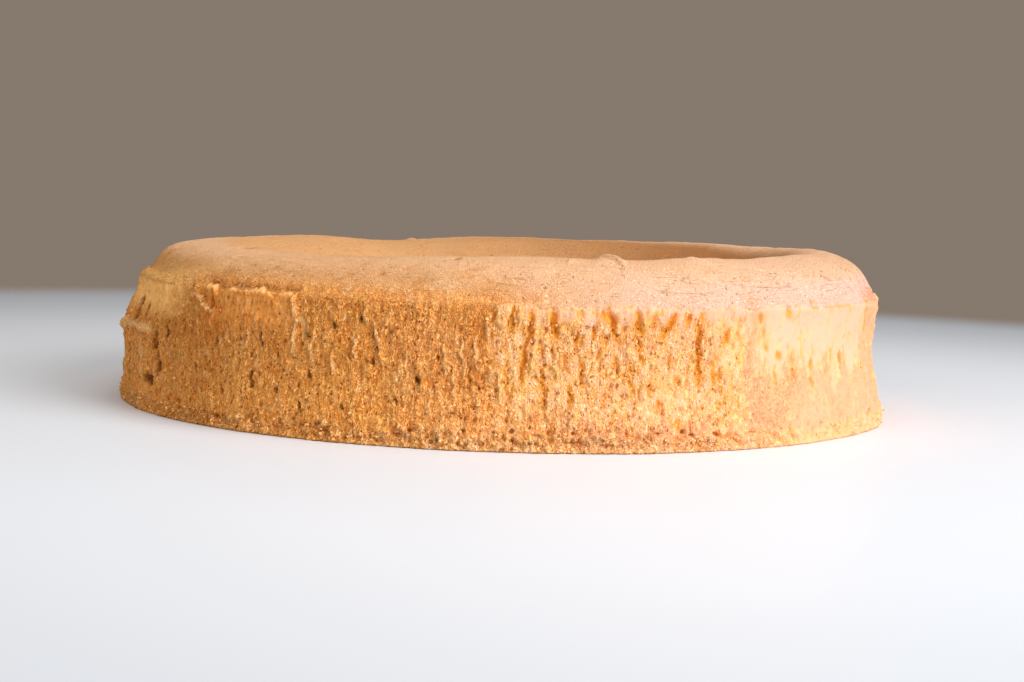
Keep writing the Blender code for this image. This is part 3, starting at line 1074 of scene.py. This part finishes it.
def skinToneAt(tree, place, paleness):
    patches, streaks = bakeAt(tree, place, "skin")
    flecks, _ = bakeAt(tree, shifted(place, (0.3, 0.2, 0.1)), "skinFlecks")
    tone = tint(patches, tones["skinDark"], tones["skin"])
    tone = tint(streaks * flecks * 0.7, tone, tones["skinLight"])
    return tint(paleness, tone, tones["skinPale"]), streaks, flecks


def crustToneAt(tree, place, paleness):
    patches, _ = bakeAt(tree, place, "crust")
    flecks, _ = bakeAt(tree, shifted(place, (0.1, 0.4, 0.2)), "crustFlecks")
    tone = tint(patches, tones["crustDark"], tones["crust"])
    tone = tint(flecks * 0.6, tone, tones["crustRosy"])
    return tint(paleness, tone, tones["crustPale"])


def gritty(tone, grit, strength):
    # darker and more saturated in the hollows of the grit as painted shade, lighter on its heads as painted
    # highlight
    low = vectorDo("MULTIPLY", tone, shades["gritHollowShade"])
    high = vectorDo("MULTIPLY", tone, shades["gritHeadHighlight"])
    return tint(strength, tone, tint(grit, low, high))


def makeSideMaterial():
    material, tree, shader, place = newMaterial("bakedSide", roughness=0.9, specular=0.12)
    torn, pale, band, bulge, veil = attributes(tree, "torn", "pale", "band", "bulge", "veil")
    tornSide, browned, blond, polish = attributes(tree, "tornSide", "browned", "blond", "polish")
    cut, cutNear, welt, weltNear = attributes(tree, "cut", "cutNear", "welt", "weltNear")
    ledge, scar, pore = attributes(tree, "ledge", "scar", "pore")
    x, _, height = partsOf(place)
    paleness = out(useGroup(tree, paleLitSideGroup, {"Place": place}))

    # skin and crumb, and the crust's tone coming down over the torn side
    skinTone, streaks, flecks = skinToneAt(tree, place, paleness)
    crumbTone = tint(ramp(streaks * 0.5 + flecks * 0.5, 0.25, 0.75), tones["crumbWarm"], tones["cream"])
    crumbTone = tint(paleness * 0.3, crumbTone, tones["crumb"])
    crumbTone = tint(ramp(pale + (streaks - 0.5) * 0.5, 0.0, 1.15), crumbTone, tones["crumb"])
    bare = largest(ramp(torn + (flecks - 0.5) * 0.6, 0.0, 0.9), band * 0.68)
    lower = fall(height, 6 * mm, 32 * mm)
    skinTone = shaded(lower * (1.0 - paleness * 0.9), skinTone, "lowerSkin")
    crumbTone = shaded(fall(paleness, 0.0, 0.12), crumbTone, "warmCrumb")
    tone = tint(bare, skinTone, crumbTone)
    veiled = ramp(veil + (streaks - 0.5) * 0.9, 0.25, 0.85) * (1.0 - ramp(pale, 0.3, 0.7) * 0.8)
    brim = ramp(veil + (flecks - 0.5) * 0.5, 0.80, 1.05)
    rosy = tornSide * ramp(paleness, 0.05, 0.45)
    veilTone = shaded(ramp(paleness, 0.3, 1.0), crustToneAt(tree, place, paleness), "veil")
    tone = tint(largest(veiled, brim) * rosy, tone, veilTone)

    # a darker zone and a blond one, painted shade in the hollows of the relief and painted highlight on its
    # raised parts, and painted shade round the marks
    tone = shaded(browned, tone, "sideDarkerAtLeft")
    tone = tint(blond * (0.46 + streaks * 0.5), tone, tones["blond"])
    tone = shaded(fall(bulge, -0.8, 0.0) * (0.5 + torn * 0.4), tone, "hollowReliefShade")
    tone = shaded(ramp(bulge, 0.1, 0.8) * 0.35, tone, "raisedReliefHighlight")
    tone = shaded(largest(cutNear * bare * 0.7, weltNear * 0.8), tone, "shadeNearMarks")

    # fine grit and holes, which are coarser in the band at the foot, and the marks themselves; holes and cuts
    # are painted darker as painted shade, welts and the ledge's edge lighter as painted highlight
    fineGrit, fineBubbles, fineHeight = bubblesAt(tree, place, "side")
    coarseGrit, coarseBubbles, coarseHeight = bubblesAt(tree, shifted(place, (0.2, 0.1, 0.3)), "band")
    grit = blend(band, fineGrit, coarseGrit)
    bubbles = blend(band, fineBubbles, coarseBubbles)
    bump = blend(band, fineHeight, coarseHeight * 1.6)
    calm = (1.0 - ramp(pale, 0.35, 0.85) * 0.97) * (1.0 - ramp(paleness, 0.55, 0.95) * 0.85) * (1.0 - scar)
    calm = calm * (1.0 - blond * 0.7) * (1.0 - ramp(veil, 0.5, 1.0) * rosy * 0.7)
    proud = largest(welt * 0.95, ledge * 0.8)
    mellow = (1.0 - polish * 0.65) * (1.0 - ramp(x, -60 * mm, -105 * mm) * 0.4)
    rough = (0.75 + ramp(grain(shifted(place, (0.6, 0.1, 0.2)), 7, 2.0), 0.42, 0.58) * 0.25) * mellow
    comb = ramp(grain(warped(stretched(place, 1.0, 0.22), 3, 0.6), 0.75, 2.0), 0.38, 0.62)
    tone = tint(proud, tone, tones["welt"])
    tone = tint(cut * 0.92, tone, tint(largest(tornSide, paleness * 0.8), tones["gapShade"], tones["grooveShade"]))
    tone = gritty(tone, comb, calm * mellow * (0.22 - bare * 0.08) * (1.0 - proud))
    tone = gritty(tone, grit, calm * rough * (1.0 - bare * 0.3) * (1.0 - proud * 0.7))
    tone = tint(scar * 0.9, tone, tones["scar"])
    tone = shaded(largest(bubbles * 0.9, pore * 0.7) * calm * (1.0 - proud * 0.8), tone, "sideHoleShade")
    bump = (bump * (1.0 - polish * 0.6) + comb * 0.15) * calm * (1.0 - bare * 0.35)
    finishMaterial(shader, tone, bump, 0.55 * mm)
    return material


def makeCrustMaterial():
    material, tree, shader, place = newMaterial("bakedCrust", roughness=0.85, specular=0.15)
    risen, tornSide, browned, blond = attributes(tree, "risen", "tornSide", "browned", "blond")
    crease, dent, cut, ledge, pore = attributes(tree, "crease", "dent", "cut", "ledge", "pore")
    x, y, height = partsOf(place)
    reach = lengthOf(fromParts(tree, x, y))
    grit, bubbles, bump = bubblesAt(tree, place, "crust")
    paleness = out(useGroup(tree, paleLitSideGroup, {"Place": place}))
    tone = crustToneAt(tree, place, paleness)
    # painted light: the crest is painted lighter, most at the far left, where less lamp light reaches
    farLeft = ramp(x, -40 * mm, -100 * mm)
    tone = tint(ramp(height, 42 * mm, 48.5 * mm) * (0.65 + farLeft * 0.35), tone, tones["crown"])
    hollow = fall(reach, 86 * mm, 96 * mm)
    # painted light and painted shade across the hollow: lighter at its left, darker at its right where the
    # rim keeps the window light off
    tone = tint(hollow, tone, tint(ramp(x, -68 * mm, 93 * mm), tones["hollow"], tones["hollowShadedRight"]))
    low = (1.0 - risen) * (1.0 - tornSide * ramp(paleness, 0.05, 0.45))
    skinTone, streaks, flecks = skinToneAt(tree, place, paleness)
    tone = tint(low * 0.75, tone, skinTone)
    tone = shaded(browned, tone, "crustDarkerAtLeft")
    tone = shaded(ramp(x, 70 * mm, 105 * mm) * ramp(height, 43 * mm, 47 * mm), tone, "farRight")
    tone = tint(blond * (0.3 + streaks * 0.5), tone, tones["blond"])
    scuffs = ramp(grain(shifted(place, (0.2, 0.5, 0.1)), 8, 4.0, 0.65), 0.58, 0.68)
    scuffs = scuffs * ramp(grain(place, 0.7, 2.0), 0.40, 0.62) * (1.0 - hollow)
    tone = tint(scuffs * 0.6, tone, tones["flour"])
    layered = warped(stretched(place, 0.13, 1.5), 6, 1.2)
    shoulder = ramp(height, 39 * mm, 42 * mm) * fall(height, 47 * mm, 49.5 * mm)
    hairs = ridged(grain(layered, 2.4, 2.0), 0.014)
    hairs = hairs * ramp(grain(place, 9, 1.0), 0.50, 0.60) * shoulder
    tone = gritty(tone, grit, 0.25 + low * 0.5)
    tone = tint(largest(hairs * 0.6, crease) * 0.5, tone, tones["skinDark"])
    # painted shade: dents, cuts, the crust just above a ledge and the holes are painted darker
    tone = tint(dent * 0.62, tone, tones["gapShade"])
    tone = tint(cut * 0.6, tone, tones["grooveShade"])
    tone = tint(ledge * ramp(flecks, 0.2, 0.6) * 0.7, tone, tones["gapShade"])
    tone = shaded(largest(bubbles * 0.6, pore * 0.8), tone, "crustHoleShade")
    finishMaterial(shader, tone, bump - hairs, 0.30 * mm)
    return material


def makeGrainMaterial():
    material, tree, shader, place = newMaterial("looseCrumb", roughness=0.92, specular=0.1)
    patches, _ = bakeAt(tree, place, "looseCrumb")
    tone = tint(patches, tones["crumbWarm"], tones["cream"])
    finishMaterial(shader, tone, grain(place, 0.3, 2.0), 0.1 * mm, 0.8)
    return material


sideMaterial = makeSideMaterial()
crustMaterial = makeCrustMaterial()
grainMaterial = makeGrainMaterial()
print("finishes are made")


# more marks on the far side, and then the two shells
farArcs = {  # from one azimuth to the other
    "cuts": [(85, 117), (131, 163), (-165, -137), (-120, -104)],
    "pits": [(66, 180), (-180, -86)],
    "welts": [(65, 180), (-180, -52)],
}
seeds = {"farCuts": 11, "farPits": 12, "farWelts": 13, "cuts": 3, "welts": 4, "scars": 6, "dents": 5}
farCuts = strewnMarks(seeds["farCuts"], 70, farArcs["cuts"], (14, 37.5), (3, 12), (0.5, 1.1), (0.5, 1.4))
farPits = strewnMarks(seeds["farPits"], 50, farArcs["pits"], (8, 34), (1, 3), (0.35, 0.7), (0.5, 1.0))
farWelts = strewnMarks(seeds["farWelts"], 70, farArcs["welts"], (12, 37), (4, 9), (0.32, 0.45), (0.3, 0.55))
cutChain = markChain("cuts", cuts + farCuts + farPits, onWall, seeds["cuts"])
weltChain = markChain("welts", welts + farWelts, onWall, seeds["welts"])
scarChain = markChain("scars", scars, onWall, seeds["scars"])
dentChain = markChain("dents", dents, onTop, seeds["dents"])

spongeSide = shaped(stackRings("sponge_side", sideRings()), makeSideTree(), {
    "Guide form": guideForm,
    "Cuts": cutChain,
    "Welts": weltChain,
    "Scars": scarChain,
    "Material": sideMaterial,
    **side["relief"],
})
print("side:", len(spongeSide.data.polygons), "faces")

topCrust = shaped(stackRings("top_crust", crustRings()), makeCrustTree(), {
    "Guide form": guideForm,
    "Dents": dentChain,
    "Cuts": cutChain,
    "Material": crustMaterial,
    **crust["relief"],
})
print("crust:", len(topCrust.data.polygons), "faces")


# loose grains on the torn crumb and round the foot
grains = {
    "spread": {
        "Density": 2600 / 0.011,  # to the square metre where the crumb is wholly torn
        "Smallest": 0.18,  # in mm
        "Largest": 0.55,
    },
    "placeSeed": 5,
    "sizeSeed": 3,
    "turnSeed": 4,
    "shapeSeed": 2,
}


def makeGrainShape():
    mesh = bpy.data.meshes.new("grainShape")
    build = bmesh.new()
    bmesh.ops.create_icosphere(build, subdivisions=1, radius=1.0)
    draw = random.Random(grains["shapeSeed"])
    for vert in build.verts:
        vert.co *= draw.uniform(0.5, 1.2)
    build.to_mesh(mesh)
    build.free()
    return showObject("grainShape", mesh)


def makeGrainTree():
    tree, entry, leave = newSurface("looseGrains", ["Grain"], grains["spread"])
    place = out(put(tree, "GeometryNodeInputPosition"))
    height = partsOf(place)[2]
    visible = ramp(height, 0.8 * mm, 1.6 * mm) * fall(height, lipHeight - 1.5 * mm, lipHeight)
    where = largest(namedValue(tree, "torn"), namedValue(tree, "band") * 1.4) + 0.06
    where = where * visible * ramp(grain(place, 6, 2.0), 0.38, 0.66)
    where = where * fall(namedValue(tree, "pale"), 0.2, 0.5)
    scatter = put(tree, "GeometryNodeDistributePointsOnFaces", {
        "Mesh": entry["Geometry"],
        "Density": where * entry["Density"],
        "Seed": grains["placeSeed"],
    })
    grainInfo = put(tree, "GeometryNodeObjectInfo", {"Object": entry["Grain"], "As Instance": True})
    sizes = {2: entry["Smallest"] * mm, 3: entry["Largest"] * mm, "Seed": grains["sizeSeed"]}
    size = put(tree, "FunctionNodeRandomValue", sizes, data_type="FLOAT")
    turns = {0: (0, 0, 0), 1: (6.28, 6.28, 6.28), "Seed": grains["turnSeed"]}
    turn = put(tree, "FunctionNodeRandomValue", turns, data_type="FLOAT_VECTOR")
    strew = put(tree, "GeometryNodeInstanceOnPoints", {
        "Points": out(scatter, "Points"),
        "Instance": out(grainInfo, "Geometry"),
        "Scale": out(size, 1),
        "Rotation": out(turn, 0),
    })
    finishGeometry(leave, out(strew), entry["Material"])
    return tree


looseGrains = showObject("loose_grains", spongeSide.data.copy())
grainSource = makeGrainShape()
shaped(looseGrains, makeGrainTree(), {
    "Grain": grainSource,
    "Material": grainMaterial,
    **grains["spread"],
})
print("grains:", len(looseGrains.data.polygons), "faces")

for helper in (guideForm, cutChain, weltChain, scarChain, dentChain, grainSource):
    bpy.data.objects.remove(helper)

for piece in (spongeSide, topCrust, looseGrains):
    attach(piece, "root")
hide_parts(cadNode)
